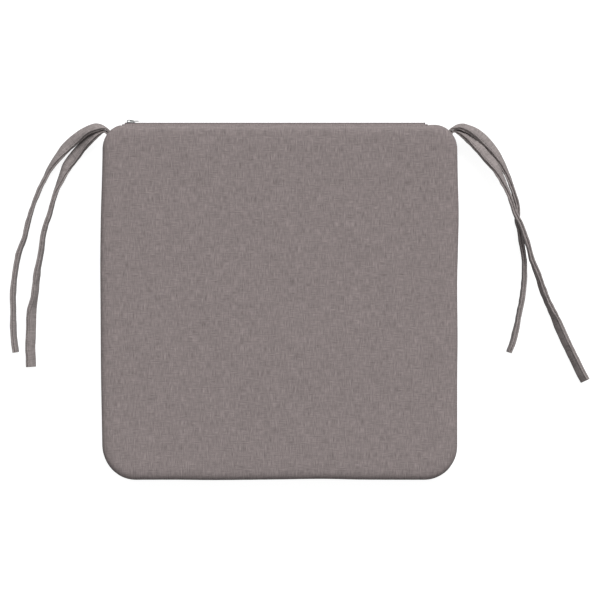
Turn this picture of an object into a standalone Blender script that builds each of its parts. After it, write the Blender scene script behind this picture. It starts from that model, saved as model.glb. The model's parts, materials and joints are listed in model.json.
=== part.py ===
"""Chair seat pad: a foam slab in a zipped cloth cover, with a pair of tape ties at each back corner.

Metres, +Z up. The origin is the middle of the underside, +Y points to the back edge with the zip,
and +X to the right as seen by someone who stands in front of the chair and looks at its back.
"""
import math

import bmesh
import bpy
import numpy as np
from mathutils import Matrix, Vector

MM = 0.001

# Pad
PAD_WIDTH = 360 * MM
PAD_DEPTH = 357.4 * MM
PAD_THICKNESS = 28 * MM
FRONT_CORNER_RADIUS = 39 * MM
BACK_CORNER_RADIUS = 25 * MM
EDGE_RADIUS = 9.5 * MM
FABRIC_THICKNESS = 0.8 * MM
FOAM_SLACK = 0.6 * MM
BACK_TAPE_ROOM = 1.0 * MM
FIT_GAP = 0.3 * MM

# Zip chain, which runs along the back edge at mid-height with its closed end on the left
CHAIN_PROUD = 1.65 * MM
CHAIN_LEFT = -154.1 * MM
CHAIN_RIGHT = 145.0 * MM
COIL_DIAMETER = 1.5 * MM
COIL_OFFSET = 1.35 * MM
TAPE_THICKNESS = 0.5 * MM
TAPE_START = 2.4 * MM
TAPE_FLAT_END = 3.5 * MM
TAPE_WRAP_ANGLES = (6, 17, 28, 39, 50)
TAPE_CLEARANCE = 0.45 * MM
TACK_LENGTH = 1.2 * MM
TACK_HALF_HEIGHT = 2.05 * MM
TACK_HALF_DEPTH = 0.95 * MM
TACK_ROUNDING = 0.3 * MM
SLOT_HALF_HEIGHT = 6.2 * MM
SLOT_DEPTH = 4.75 * MM
SLOT_END_MARGIN = 0.6 * MM

# Zip slider and pull
SLIDER_FRONT = -153.9 * MM
SLIDER_LENGTH = 8.2 * MM
SLIDER_CHEEK = 0.9 * MM
SLIDER_SHOULDER = 2.7 * MM
SLIDER_TIP_HALF_HEIGHT = 2.2 * MM
SLIDER_NOSE_HALF_HEIGHT = 3.1 * MM
SLIDER_TAIL_HALF_HEIGHT = 2.8 * MM
SLIDER_HALF_DEPTH = 1.65 * MM
CHANNEL_HALF_HEIGHT = 2.4 * MM
CHANNEL_HALF_DEPTH = 1.05 * MM
TAPE_SLOT_HALF_DEPTH = 0.6 * MM
NECK_LENGTH = 2.4 * MM
NECK_HALF_HEIGHT = 0.3 * MM
CROWN_CENTRE = -150.4 * MM
CROWN_HALF_LENGTH = 3.1 * MM
CROWN_TOP = 3.3 * MM
CROWN_CORNER_RADIUS = 1.1 * MM
CROWN_HALF_THICKNESS = 0.3 * MM
CROWN_HALF_HEIGHT = 0.9 * MM
PULL_AXIS_PROUD = 2.33 * MM
PULL_THICKNESS = 0.7 * MM
PULL_BAR_HALF = 0.45 * MM
PULL_EYE_END = 4.0 * MM
PULL_EYE_HALF_HEIGHT = 1.3 * MM
PULL_LENGTH = 8.4 * MM
PULL_HALF_HEIGHT = 2.3 * MM
PULL_CORNER_RADIUS = 1.2 * MM

# Ties: a folded tape with rounded long edges, gathered to TIE_GATHER of its size in the corner seam
TIE_WIDTH = 11 * MM
TIE_THICKNESS = 4.8 * MM
TIE_GATHER = 0.5
TIE_GATHER_REACH = 22 * MM
TIE_STEP = 6 * MM
ROUTE_SAMPLES = 12

# Each tie's route from the corner seam to its bare end: x, y and the height of its lower edge in
# millimetres, and how far the edge nearer to the pad is turned up, in degrees: 90 stands on edge.
TIE_ROUTES = {
    "tie_left_outer": [
        (-174.4, 175.0, 11.2, 84), (-179.1, 176.5, 10.6, 56), (-185.3, 176.3, 9.6, 46),
        (-191.8, 174.2, 8.6, 47), (-197.9, 171.0, 7.4, 40), (-203.7, 166.9, 6.2, 28),
        (-209.4, 162.3, 5.0, 24), (-215.7, 156.4, 3.8, 30), (-221.6, 149.7, 2.5, 47),
        (-227.4, 142.3, 1.5, 62), (-233.1, 133.5, 0.8, 72), (-238.8, 122.2, 0.4, 80),
        (-244.2, 111.1, 0.1, 85), (-250.1, 95.5, 0.0, 86), (-254.4, 80.9, 0.0, 90),
        (-258.1, 64.8, 0.0, 93), (-263.4, 50.8, 0.0, 94), (-266.0, 38.6, 0.0, 94),
        (-268.1, 24.5, 0.0, 95), (-269.5, 8.3, 0.0, 98), (-269.2, -9.8, 0.0, 97),
        (-269.1, -26.0, 0.0, 100), (-268.2, -39.1, 0.0, 102), (-266.5, -50.6, 0.0, 101),
    ],
    "tie_left_inner": [
        (-175.2, 172.0, 10.6, 84), (-179.2, 172.4, 9.4, 54), (-185.6, 169.8, 7.4, 48),
        (-192.7, 163.8, 5.4, 46), (-198.4, 158.3, 3.6, 36), (-203.9, 152.3, 2.2, 26),
        (-209.5, 145.6, 1.2, 22), (-215.2, 137.5, 0.6, 31), (-219.4, 128.5, 0.2, 56),
        (-223.2, 119.4, 0.0, 69), (-226.4, 111.2, 0.0, 83), (-229.5, 101.1, 0.0, 89),
        (-232.3, 90.0, 0.0, 92), (-236.2, 79.0, 0.0, 92), (-239.2, 66.8, 0.0, 94),
        (-240.8, 52.7, 0.0, 97), (-243.1, 40.6, 0.0, 98), (-245.3, 28.5, 0.0, 104),
        (-246.4, 16.3, 0.0, 110), (-248.0, 4.2, 0.0, 110), (-250.6, -8.8, 0.0, 130),
        (-251.1, -22.9, 0.0, 137), (-251.7, -38.0, 0.0, 136), (-251.8, -52.2, 0.0, 136),
        (-251.2, -65.3, 0.0, 136),
    ],
    "tie_right_outer": [
        (173.6, 174.8, 11.4, 85), (178.2, 176.5, 10.4, 63), (183.1, 177.1, 9.0, 62),
        (190.0, 175.2, 7.8, 52), (196.5, 172.0, 6.9, 43), (202.4, 167.9, 6.3, 37),
        (208.1, 162.8, 5.8, 34), (214.1, 156.2, 5.1, 40), (219.7, 148.3, 4.0, 51),
        (224.9, 139.8, 2.6, 66), (230.1, 129.5, 1.4, 74), (233.9, 119.5, 0.6, 84),
        (237.7, 108.5, 0.2, 88), (241.0, 95.3, 0.0, 90), (240.4, 82.8, 0.0, 92),
        (242.8, 72.9, 0.0, 92), (244.6, 60.9, 0.0, 92), (247.1, 46.7, 0.0, 92),
        (247.8, 32.5, 0.0, 92), (247.1, 18.3, 0.0, 95), (245.4, 4.1, 0.0, 97),
        (242.6, -10.0, 0.0, 95), (239.4, -26.2, 0.0, 99), (235.8, -40.3, 0.0, 101),
        (231.9, -50.6, 0.0, 99),
    ],
    "tie_right_inner": [
        (174.7, 172.2, 10.4, 85), (178.5, 172.7, 9.1, 63), (183.8, 170.7, 8.4, 60),
        (190.5, 165.5, 7.9, 54), (196.7, 159.9, 8.9, 47), (202.6, 154.0, 10.4, 39),
        (208.5, 146.8, 11.2, 35), (214.6, 140.2, 11.4, 40), (220.5, 131.3, 11.5, 56),
        (225.0, 121.9, 11.5, 70), (229.4, 112.6, 11.7, 80), (233.8, 101.4, 11.7, 87),
        (237.2, 89.9, 11.9, 90), (242.7, 79.8, 11.9, 90), (246.6, 69.1, 11.7, 92),
        (250.7, 56.7, 10.8, 94), (254.7, 42.6, 8.8, 95), (260.3, 28.7, 6.3, 103),
        (264.8, 15.6, 4.0, 108), (269.9, 2.6, 2.2, 108), (275.7, -9.4, 1.0, 113),
        (281.2, -21.5, 0.4, 128), (286.5, -33.7, 0.0, 130), (292.7, -46.9, 0.0, 130),
        (298.7, -59.1, 0.0, 130), (304.0, -70.0, 0.0, 132), (309.0, -79.5, 0.0, 132),
    ],
}

MID_HEIGHT = PAD_THICKNESS / 2
PAD_BACK = PAD_DEPTH / 2
CHAIN_Y = PAD_BACK + CHAIN_PROUD
LEFT_TACK_X = CHAIN_LEFT - FIT_GAP - TACK_LENGTH / 2
RIGHT_TACK_X = CHAIN_RIGHT + FIT_GAP + TACK_LENGTH / 2
TAPE_LEFT = LEFT_TACK_X - TACK_LENGTH / 2 - FIT_GAP
TAPE_RIGHT = RIGHT_TACK_X + TACK_LENGTH / 2 + FIT_GAP
FLOOR_GAP = 0.1 * MM
MERGE_DISTANCE = 0.01 * MM
CUT_MARGIN = 20 * MM

# Base colour, roughness and metallic value of each material
MATERIALS = {
    "taupe_cloth": ((0.245, 0.207, 0.203), 0.95, 0.0),
    "tie_cloth": ((0.215, 0.185, 0.178), 0.95, 0.0),
    "polyurethane_foam": ((0.86, 0.80, 0.62), 0.98, 0.0),
    "zip_tape_polyester": ((0.130, 0.100, 0.102), 0.85, 0.0),
    "zip_coil_nylon": ((0.115, 0.090, 0.092), 0.50, 0.0),
    "slider_zinc": ((0.42, 0.43, 0.43), 0.35, 1.0),
    "sewing_thread": ((0.160, 0.130, 0.130), 0.80, 0.0),
}


def clear_scene():
    for obj in list(bpy.data.objects):
        bpy.data.objects.remove(obj, do_unlink=True)


def new_collection(name):
    collection = bpy.data.collections.new(name)
    bpy.context.scene.collection.children.link(collection)
    return collection


def make_material(name):
    colour, roughness, metallic = MATERIALS[name]
    material = bpy.data.materials.get(name) or bpy.data.materials.new(name)
    material.use_nodes = True
    shader = material.node_tree.nodes["Principled BSDF"]
    shader.inputs["Base Color"].default_value = (*colour, 1.0)
    shader.inputs["Roughness"].default_value = roughness
    shader.inputs["Metallic"].default_value = metallic
    return material


def add_object(name, data, collection, material=None, smooth_angle=30):
    obj = bpy.data.objects.new(name, data)
    collection.objects.link(obj)
    if material:
        obj.data.materials.append(make_material(material))
        obj.data.shade_smooth()
        obj.data.set_sharp_from_angle(angle=math.radians(smooth_angle))
    return obj


def mesh_from_curve(name, curve, placement=Matrix.Identity(4)):
    """Turn a curve into a welded mesh in world space, and remove the curve."""
    source = bpy.data.objects.new(name + "_curve", curve)
    source.matrix_world = placement
    bpy.context.scene.collection.objects.link(source)
    graph = bpy.context.evaluated_depsgraph_get()
    mesh = bpy.data.meshes.new_from_object(source.evaluated_get(graph))
    mesh.name = name
    mesh.transform(placement)
    bpy.data.objects.remove(source, do_unlink=True)
    weld(mesh)
    return mesh


def weld(mesh):
    bm = bmesh.new()
    bm.from_mesh(mesh)
    bmesh.ops.remove_doubles(bm, verts=bm.verts, dist=MERGE_DISTANCE)
    bmesh.ops.recalc_face_normals(bm, faces=bm.faces)
    bm.to_mesh(mesh)
    bm.free()


def box_mesh(name, low, high):
    size = Vector(high) - Vector(low)
    centre = (Vector(high) + Vector(low)) / 2
    bm = bmesh.new()
    bmesh.ops.create_cube(bm, size=1, matrix=Matrix.Translation(centre) @ Matrix.Diagonal((*size, 1)))
    mesh = bpy.data.meshes.new(name)
    bm.to_mesh(mesh)
    bm.free()
    return mesh


def add_cutter(name, mesh, cutters):
    cutter = add_object(name, mesh, cutters)
    cutter.hide_render = True
    cutter.display_type = "WIRE"
    return cutter


def add_boolean(obj, operation, cutter):
    modifier = obj.modifiers.new(operation.lower() + "_" + cutter.name, "BOOLEAN")
    modifier.operation = operation
    modifier.solver = "EXACT"
    modifier.object = cutter


def arc(centre_x, centre_y, radius, start, end, steps):
    """Points along an arc, with its angles in degrees."""
    angles = np.radians(np.linspace(start, end, steps + 1))
    return [(centre_x + radius * math.cos(a), centre_y + radius * math.sin(a)) for a in angles]


def rounded_rectangle(left, right, bottom, top, bottom_radius, top_radius, steps=6):
    """Corner arcs of a rectangle, anticlockwise."""
    return (arc(right - top_radius, top - top_radius, top_radius, 0, 90, steps)
            + arc(left + top_radius, top - top_radius, top_radius, 90, 180, steps)
            + arc(left + bottom_radius, bottom + bottom_radius, bottom_radius, 180, 270, steps)
            + arc(right - bottom_radius, bottom + bottom_radius, bottom_radius, 270, 360, steps))


def flat_curve(name, outlines, half_thickness, edge_radius=0.0, edge_steps=3):
    """A filled 2D curve whose rounded edges stay inside its outline."""
    curve = bpy.data.curves.new(name, "CURVE")
    curve.dimensions = "2D"
    curve.fill_mode = "BOTH"
    curve.extrude = half_thickness - edge_radius
    curve.bevel_depth = edge_radius
    curve.bevel_resolution = edge_steps
    curve.offset = -edge_radius
    for outline in outlines:
        spline = curve.splines.new("POLY")
        spline.points.add(len(outline) - 1)
        for point, (x, y) in zip(spline.points, outline):
            point.co = (x, y, 0, 1)
        spline.use_cyclic_u = True
    return curve


def slab_mesh(name, inset, back_inset):
    """The pad's outer form, moved inwards on every side."""
    half_width = PAD_WIDTH / 2 - inset
    outline = rounded_rectangle(-half_width, half_width, -PAD_DEPTH / 2 + inset, PAD_BACK - back_inset,
                                FRONT_CORNER_RADIUS - inset, BACK_CORNER_RADIUS - inset)
    curve = flat_curve(name, [outline], PAD_THICKNESS / 2 - inset, EDGE_RADIUS - inset)
    return mesh_from_curve(name, curve, Matrix.Translation((0, 0, MID_HEIGHT)))


def build_foam_core(parts):
    inset = FABRIC_THICKNESS + FOAM_SLACK
    mesh = slab_mesh("foam_core", inset, inset + BACK_TAPE_ROOM)
    add_object("foam_core", mesh, parts, "polyurethane_foam")


def build_covers(parts, cutters):
    """Two cloth panels that meet in the seam at mid-height, open along the back for the zip."""
    cavity = add_cutter("cover_cavity", slab_mesh("cover_cavity", FABRIC_THICKNESS, FABRIC_THICKNESS),
                        cutters)
    zip_slot = add_cutter("zip_slot", box_mesh(
        "zip_slot",
        (TAPE_LEFT - SLOT_END_MARGIN, PAD_BACK - SLOT_DEPTH, MID_HEIGHT - SLOT_HALF_HEIGHT),
        (TAPE_RIGHT + SLOT_END_MARGIN, PAD_BACK + CUT_MARGIN, MID_HEIGHT + SLOT_HALF_HEIGHT)), cutters)
    reach = PAD_WIDTH / 2 + CUT_MARGIN
    below = add_cutter("lower_half", box_mesh(
        "lower_half", (-reach, -reach, -CUT_MARGIN), (reach, reach, MID_HEIGHT + FIT_GAP / 2)), cutters)
    above = add_cutter("upper_half", box_mesh(
        "upper_half", (-reach, -reach, MID_HEIGHT - FIT_GAP / 2),
        (reach, reach, PAD_THICKNESS + CUT_MARGIN)), cutters)
    for name, other_half in (("cover_top", below), ("cover_bottom", above)):
        cover = add_object(name, slab_mesh(name, 0.0, 0.0), parts, "taupe_cloth")
        for cutter in (cavity, other_half, zip_slot):
            add_boolean(cover, "DIFFERENCE", cutter)


def tape_profile():
    """Half a zip tape in section, as (height above the chain, Y): flat at the coil, then in the cover."""
    wrap_radius = EDGE_RADIUS - FABRIC_THICKNESS - TAPE_CLEARANCE - TAPE_THICKNESS / 2
    wrap_y = PAD_BACK - EDGE_RADIUS
    wrap_height = MID_HEIGHT - EDGE_RADIUS
    wrapped = [(wrap_height + wrap_radius * math.sin(math.radians(angle)),
                wrap_y + wrap_radius * math.cos(math.radians(angle))) for angle in TAPE_WRAP_ANGLES]
    return [(TAPE_START, CHAIN_Y), (TAPE_FLAT_END, CHAIN_Y)] + wrapped


def build_zip_tape(name, side, parts):
    bm = bmesh.new()
    rows = [[bm.verts.new((x, y, MID_HEIGHT + side * height)) for x in (TAPE_LEFT, TAPE_RIGHT)]
            for height, y in tape_profile()]
    for lower, upper in zip(rows, rows[1:]):
        bm.faces.new((lower[0], lower[1], upper[1], upper[0]))
    mesh = bpy.data.meshes.new(name)
    bm.to_mesh(mesh)
    bm.free()
    tape = add_object(name, mesh, parts, "zip_tape_polyester")
    solidify = tape.modifiers.new("thickness", "SOLIDIFY")
    solidify.thickness = TAPE_THICKNESS
    solidify.offset = 0


def build_zip_coil(name, side, parts):
    curve = bpy.data.curves.new(name, "CURVE")
    curve.dimensions = "3D"
    curve.bevel_depth = COIL_DIAMETER / 2
    curve.bevel_resolution = 2
    curve.use_fill_caps = True
    spline = curve.splines.new("POLY")
    spline.points.add(1)
    height = MID_HEIGHT + side * COIL_OFFSET
    spline.points[0].co = (CHAIN_LEFT, CHAIN_Y, height, 1)
    spline.points[1].co = (CHAIN_RIGHT, CHAIN_Y, height, 1)
    add_object(name, mesh_from_curve(name, curve), parts, "zip_coil_nylon")


def build_zip_tack(name, x, parts):
    low = (x - TACK_LENGTH / 2, CHAIN_Y - TACK_HALF_DEPTH, MID_HEIGHT - TACK_HALF_HEIGHT)
    high = (x + TACK_LENGTH / 2, CHAIN_Y + TACK_HALF_DEPTH, MID_HEIGHT + TACK_HALF_HEIGHT)
    tack = add_object(name, box_mesh(name, low, high), parts, "sewing_thread")
    bevel = tack.modifiers.new("rounding", "BEVEL")
    bevel.width = TACK_ROUNDING
    bevel.segments = 2


def upright(x, y):
    """Placement that stands a flat outline up in the XZ plane, facing the back."""
    return Matrix.Translation((x, y, MID_HEIGHT)) @ Matrix.Rotation(math.radians(90), 4, "X")


def crown_mesh():
    """The slider's arch, a flat wire bent over the outer plate."""
    corner_x = CROWN_HALF_LENGTH - CROWN_CORNER_RADIUS
    corner_y = CROWN_TOP - CROWN_CORNER_RADIUS
    foot = SLIDER_HALF_DEPTH - CROWN_HALF_THICKNESS
    points = ([(CROWN_HALF_LENGTH, foot)] + arc(corner_x, corner_y, CROWN_CORNER_RADIUS, 0, 90, 4)
              + arc(-corner_x, corner_y, CROWN_CORNER_RADIUS, 90, 180, 4) + [(-CROWN_HALF_LENGTH, foot)])
    curve = bpy.data.curves.new("slider_crown", "CURVE")
    curve.dimensions = "3D"
    curve.twist_mode = "Z_UP"
    curve.bevel_depth = CROWN_HALF_THICKNESS
    curve.extrude = CROWN_HALF_HEIGHT - CROWN_HALF_THICKNESS
    curve.bevel_resolution = 1
    curve.use_fill_caps = True
    spline = curve.splines.new("POLY")
    spline.points.add(len(points) - 1)
    for point, (x, y) in zip(spline.points, points):
        point.co = (CROWN_CENTRE + x, CHAIN_Y + y, MID_HEIGHT, 1)
    return mesh_from_curve("slider_crown", curve)


def build_zip_slider(parts, cutters):
    """Two plates around the chain, joined by the neck at the front, with the crown on the outer one."""
    back = SLIDER_FRONT + SLIDER_LENGTH
    cheek, shoulder = SLIDER_FRONT + SLIDER_CHEEK, SLIDER_FRONT + SLIDER_SHOULDER
    lower = [(SLIDER_FRONT, -SLIDER_TIP_HALF_HEIGHT), (cheek, -SLIDER_NOSE_HALF_HEIGHT),
             (shoulder, -SLIDER_NOSE_HALF_HEIGHT), (back, -SLIDER_TAIL_HALF_HEIGHT)]
    shield = lower + [(x, -z) for x, z in reversed(lower)]
    body = mesh_from_curve("zip_slider", flat_curve("zip_slider", [shield], SLIDER_HALF_DEPTH),
                           upright(0, CHAIN_Y))
    slider = add_object("zip_slider", body, parts, "slider_zinc")

    def slider_box(name, x_low, x_high, half_depth, half_height):
        return add_cutter(name, box_mesh(name, (x_low, CHAIN_Y - half_depth, MID_HEIGHT - half_height),
                                         (x_high, CHAIN_Y + half_depth, MID_HEIGHT + half_height)), cutters)

    before, after = SLIDER_FRONT - SLIDER_LENGTH, back + SLIDER_LENGTH
    add_boolean(slider, "DIFFERENCE",
                slider_box("chain_channel", before, after, CHANNEL_HALF_DEPTH, CHANNEL_HALF_HEIGHT))
    add_boolean(slider, "DIFFERENCE",
                slider_box("tape_slots", before, after, TAPE_SLOT_HALF_DEPTH, CUT_MARGIN))
    neck_depth = (CHANNEL_HALF_DEPTH + SLIDER_HALF_DEPTH) / 2
    neck_start = SLIDER_FRONT + FIT_GAP
    add_boolean(slider, "UNION", slider_box("slider_neck", neck_start, neck_start + NECK_LENGTH,
                                            neck_depth, NECK_HALF_HEIGHT))
    add_boolean(slider, "UNION", add_cutter("slider_crown", crown_mesh(), cutters))


def build_zip_pull(parts):
    """A short flat tab whose end bar turns under the crown; its origin is on the swing axis."""
    outline = rounded_rectangle(-PULL_BAR_HALF, PULL_LENGTH, -PULL_HALF_HEIGHT, PULL_HALF_HEIGHT,
                                PULL_CORNER_RADIUS, PULL_CORNER_RADIUS, steps=4)
    eye = [(PULL_BAR_HALF, -PULL_EYE_HALF_HEIGHT), (PULL_EYE_END, -PULL_EYE_HALF_HEIGHT),
           (PULL_EYE_END, PULL_EYE_HALF_HEIGHT), (PULL_BAR_HALF, PULL_EYE_HALF_HEIGHT)]
    curve = flat_curve("zip_pull", [outline, eye], PULL_THICKNESS / 2)
    mesh = mesh_from_curve("zip_pull", curve, Matrix.Rotation(math.radians(90), 4, "X"))
    pull = add_object("zip_pull", mesh, parts, "slider_zinc")
    pull.location = (CROWN_CENTRE, CHAIN_Y + PULL_AXIS_PROUD, MID_HEIGHT)


def smooth_route(route, step):
    """Even samples of the smooth curve through a route's points (uniform Catmull-Rom)."""
    points = np.array(route, dtype=float)
    points = np.vstack([2 * points[0] - points[1], points, 2 * points[-1] - points[-2]])
    fine = []
    for p0, p1, p2, p3 in zip(points, points[1:], points[2:], points[3:]):
        for t in np.linspace(0, 1, ROUTE_SAMPLES, endpoint=False):
            fine.append(0.5 * (2 * p1 + (p2 - p0) * t + (2 * p0 - 5 * p1 + 4 * p2 - p3) * t ** 2
                               + (3 * p1 - p0 - 3 * p2 + p3) * t ** 3))
    fine = np.array(fine + [points[-2]])
    lengths = np.concatenate([[0], np.cumsum(np.linalg.norm(np.diff(fine[:, :3], axis=0), axis=1))])
    count = round(lengths[-1] / step)
    stations = np.linspace(0, lengths[-1], count + 1)
    return np.column_stack([np.interp(stations, lengths, column) for column in fine.T])


def gathered(distance):
    """A tie's size, as a share of the full one, at a distance from the corner seam."""
    t = min(distance / TIE_GATHER_REACH, 1)
    return TIE_GATHER + (1 - TIE_GATHER) * t * t * (3 - 2 * t)


def build_tie(name, route, parts):
    """A folded tape: a flat section with round edges that turns along its route."""
    samples = smooth_route([(x * MM, y * MM, lift * MM, math.radians(lean))
                            for x, y, lift, lean in route], TIE_STEP)
    radius = TIE_THICKNESS / 2
    half_flat = TIE_WIDTH / 2 - radius
    side = 1 if route[0][0] < 0 else -1
    curve = bpy.data.curves.new(name, "CURVE")
    curve.dimensions = "3D"
    curve.twist_mode = "Z_UP"
    curve.bevel_depth = radius
    curve.extrude = half_flat
    curve.bevel_resolution = 2
    curve.use_fill_caps = True
    spline = curve.splines.new("POLY")
    spline.points.add(len(samples) - 1)
    for number, (x, y, lift, lean) in enumerate(samples):
        size = gathered(number * TIE_STEP)
        height = FLOOR_GAP + lift + size * (radius + half_flat * abs(math.sin(lean)))
        point = spline.points[number]
        point.co = (x, y, height, 1)
        point.radius = size
        point.tilt = side * (lean - math.pi / 2)
    add_object(name, mesh_from_curve(name, curve), parts, "tie_cloth", smooth_angle=60)


def main():
    clear_scene()
    parts = new_collection("chair_seat_pad")
    cutters = new_collection("cutters")
    build_foam_core(parts)
    build_covers(parts, cutters)
    for end, side in (("upper", 1), ("lower", -1)):
        build_zip_tape("zip_tape_" + end, side, parts)
        build_zip_coil("zip_coil_" + end, side, parts)
    build_zip_tack("zip_tack_left", LEFT_TACK_X, parts)
    build_zip_tack("zip_tack_right", RIGHT_TACK_X, parts)
    build_zip_slider(parts, cutters)
    build_zip_pull(parts)
    for name, route in TIE_ROUTES.items():
        build_tie(name, route, parts)


main()
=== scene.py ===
"""Looks of the chair seat pad: cloth cover, zip, ties, materials, light and camera."""
import json
import math
import random

import bmesh
import bpy
import numpy as np
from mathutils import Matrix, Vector


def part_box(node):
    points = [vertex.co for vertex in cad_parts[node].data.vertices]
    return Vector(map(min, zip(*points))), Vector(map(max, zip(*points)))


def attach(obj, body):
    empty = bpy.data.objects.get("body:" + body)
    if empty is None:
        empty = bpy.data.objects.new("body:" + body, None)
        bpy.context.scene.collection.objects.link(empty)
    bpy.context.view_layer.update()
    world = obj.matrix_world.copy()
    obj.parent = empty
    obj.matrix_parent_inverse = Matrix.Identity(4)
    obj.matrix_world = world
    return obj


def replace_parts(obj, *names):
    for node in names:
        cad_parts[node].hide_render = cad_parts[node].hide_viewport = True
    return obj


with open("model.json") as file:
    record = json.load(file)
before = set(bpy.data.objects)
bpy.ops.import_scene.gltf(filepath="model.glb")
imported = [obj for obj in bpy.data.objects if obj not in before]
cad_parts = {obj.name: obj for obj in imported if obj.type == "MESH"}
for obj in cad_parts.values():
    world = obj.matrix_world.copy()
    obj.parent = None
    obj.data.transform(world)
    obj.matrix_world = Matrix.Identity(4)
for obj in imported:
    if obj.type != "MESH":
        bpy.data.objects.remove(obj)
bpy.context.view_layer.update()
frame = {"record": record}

MM = 0.001
PAD = "pad"

# -------- places, from the frame
TOP_LOW, TOP_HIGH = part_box("cover_top")
MID = (TOP_LOW[2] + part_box("cover_bottom")[1][2]) / 2
HALF_WIDTH = (TOP_HIGH[0] - TOP_LOW[0]) / 2
HALF_DEPTH = (TOP_HIGH[1] - TOP_LOW[1]) / 2
HALF_THICK = TOP_HIGH[2] - MID
COIL_LOW, COIL_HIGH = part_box("zip_coil_upper")
CHAIN_Y = (COIL_LOW[1] + COIL_HIGH[1]) / 2
CHAIN_LEFT, CHAIN_RIGHT = COIL_LOW[0], COIL_HIGH[0]
TAPE_LEFT, TAPE_RIGHT = (corner[0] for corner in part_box("zip_tape_upper"))
SLOT_OF = {part["node"]: part["material_slot"] for part in frame["record"]["subparts"]}

# -------- cloth cover and foam
FRONT_LEFT_RADIUS = 35.5 * MM
FRONT_RIGHT_RADIUS = 34.5 * MM
BACK_RADIUS = 24 * MM
CLOTH = 0.8 * MM
# How the cloth's sides wander from straight lines: places along a side, from -1 at its left or
# front end to 1, and how far the side stands out there, in millimetres.
FRONT_LINE = [(-1, 0.1), (-0.6, -0.1), (-0.35, 0.25), (0, -0.4), (0.25, -0.9), (0.5, -0.15), (1, 0)]
RIGHT_LINE = [(-1, -1.0), (-0.45, -1.0), (-0.2, -0.6), (0.1, -1.0), (0.3, -0.2), (0.5, 0.5),
              (0.7, -0.4), (1, -1.4)]
BACK_LINE = [(-1, -0.2), (-0.8, 0), (0.8, 0), (1, -0.2)]
LEFT_LINE = [(-1, -2.2), (-0.75, -1.5), (-0.4, -0.4), (0, 0.1), (0.25, 0.3), (0.5, -0.3),
             (0.75, -1.6), (1, -2.3)]
WANDER_STEP = 0.02
CROWN = 0.9 * MM
FACE_INSET = 14 * MM
SHOULDER = 13.8 * MM
SHOULDER_POWER = 3
WALL_POWER = 5
SEAM_CREASE = 0.9 * MM
SEAM_CREASE_REACH = 1.5 * MM
PUCKER = 0.35 * MM
PUCKER_REACH = 5 * MM
PUCKER_WAVES, PUCKER_SEED = 11 * MM, 11
PUCKER_ON_SIDES, PUCKER_MORE_AT_CORNERS = 0.25, 0.9
FACE_RELIEF = 0.16 * MM
FACE_WAVES, FACE_SEED = 70 * MM, 5
FOAM_SLACK = CLOTH + 0.6 * MM
# Behind the zip the foam stands back, in full where the seam is an eighth open.
FOAM_SETBACK, FOAM_SETBACK_ONSET = 2.6 * MM, 8
GRID = 144
GRID_EASE = 6
WALL_RINGS = 34
EDGE_FINENESS = 1.5
PROFILE_STEPS, WALL_STEPS = 400, 60

# The back wall along the zip: distance in from the outline, and height above the seam, in
# millimetres, from the face down over the shoulder and the stitched groove to the hem's lip.
ZIP_PROFILE = [(14.0, 13.95), (11.5, 13.9), (9.5, 13.8), (7.5, 13.6), (5.5, 13.3), (4.5, 13.0),
               (3.5, 12.5), (2.7, 11.7), (2.1, 10.4), (1.75, 9.0), (1.6, 7.8), (1.72, 7.1),
               (1.55, 6.6), (1.1, 6.25), (0.4, 5.8), (-0.4, 5.3), (-0.85, 4.9), (-1.0, 4.5)]
ZIP_RIM_DROP = HALF_THICK - ZIP_PROFILE[0][1] * MM
ZIP_RAMP_OUT = 5 * MM
ZIP_RAMP_IN = 1 * MM
FACES_BACK = 0.9
# Beyond its visible edge the cloth turns inwards: steps in and up, in millimetres, for the sewn
# seam and for the hem's lip.
TURNED_IN = [((0.5, 0.02), (0.22, -0.13)), ((1.6, 0.02), (0.5, -0.1)), ((2.6, 0.02), (0.75, 0.05))]

# -------- ties
TIE_WIDTH = 11 * MM
TIE_THICKNESS = 4.8 * MM
TIE_GATHER = 0.5
TIE_GATHER_REACH = 14 * MM
FLOOR_GAP = 0.1 * MM
TIE_STEP = 1.5 * MM
# The stitching starts this many steps out from the seam.
TIE_SEWN_FROM = 14
ROOT_INSIDE = 7 * MM

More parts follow.
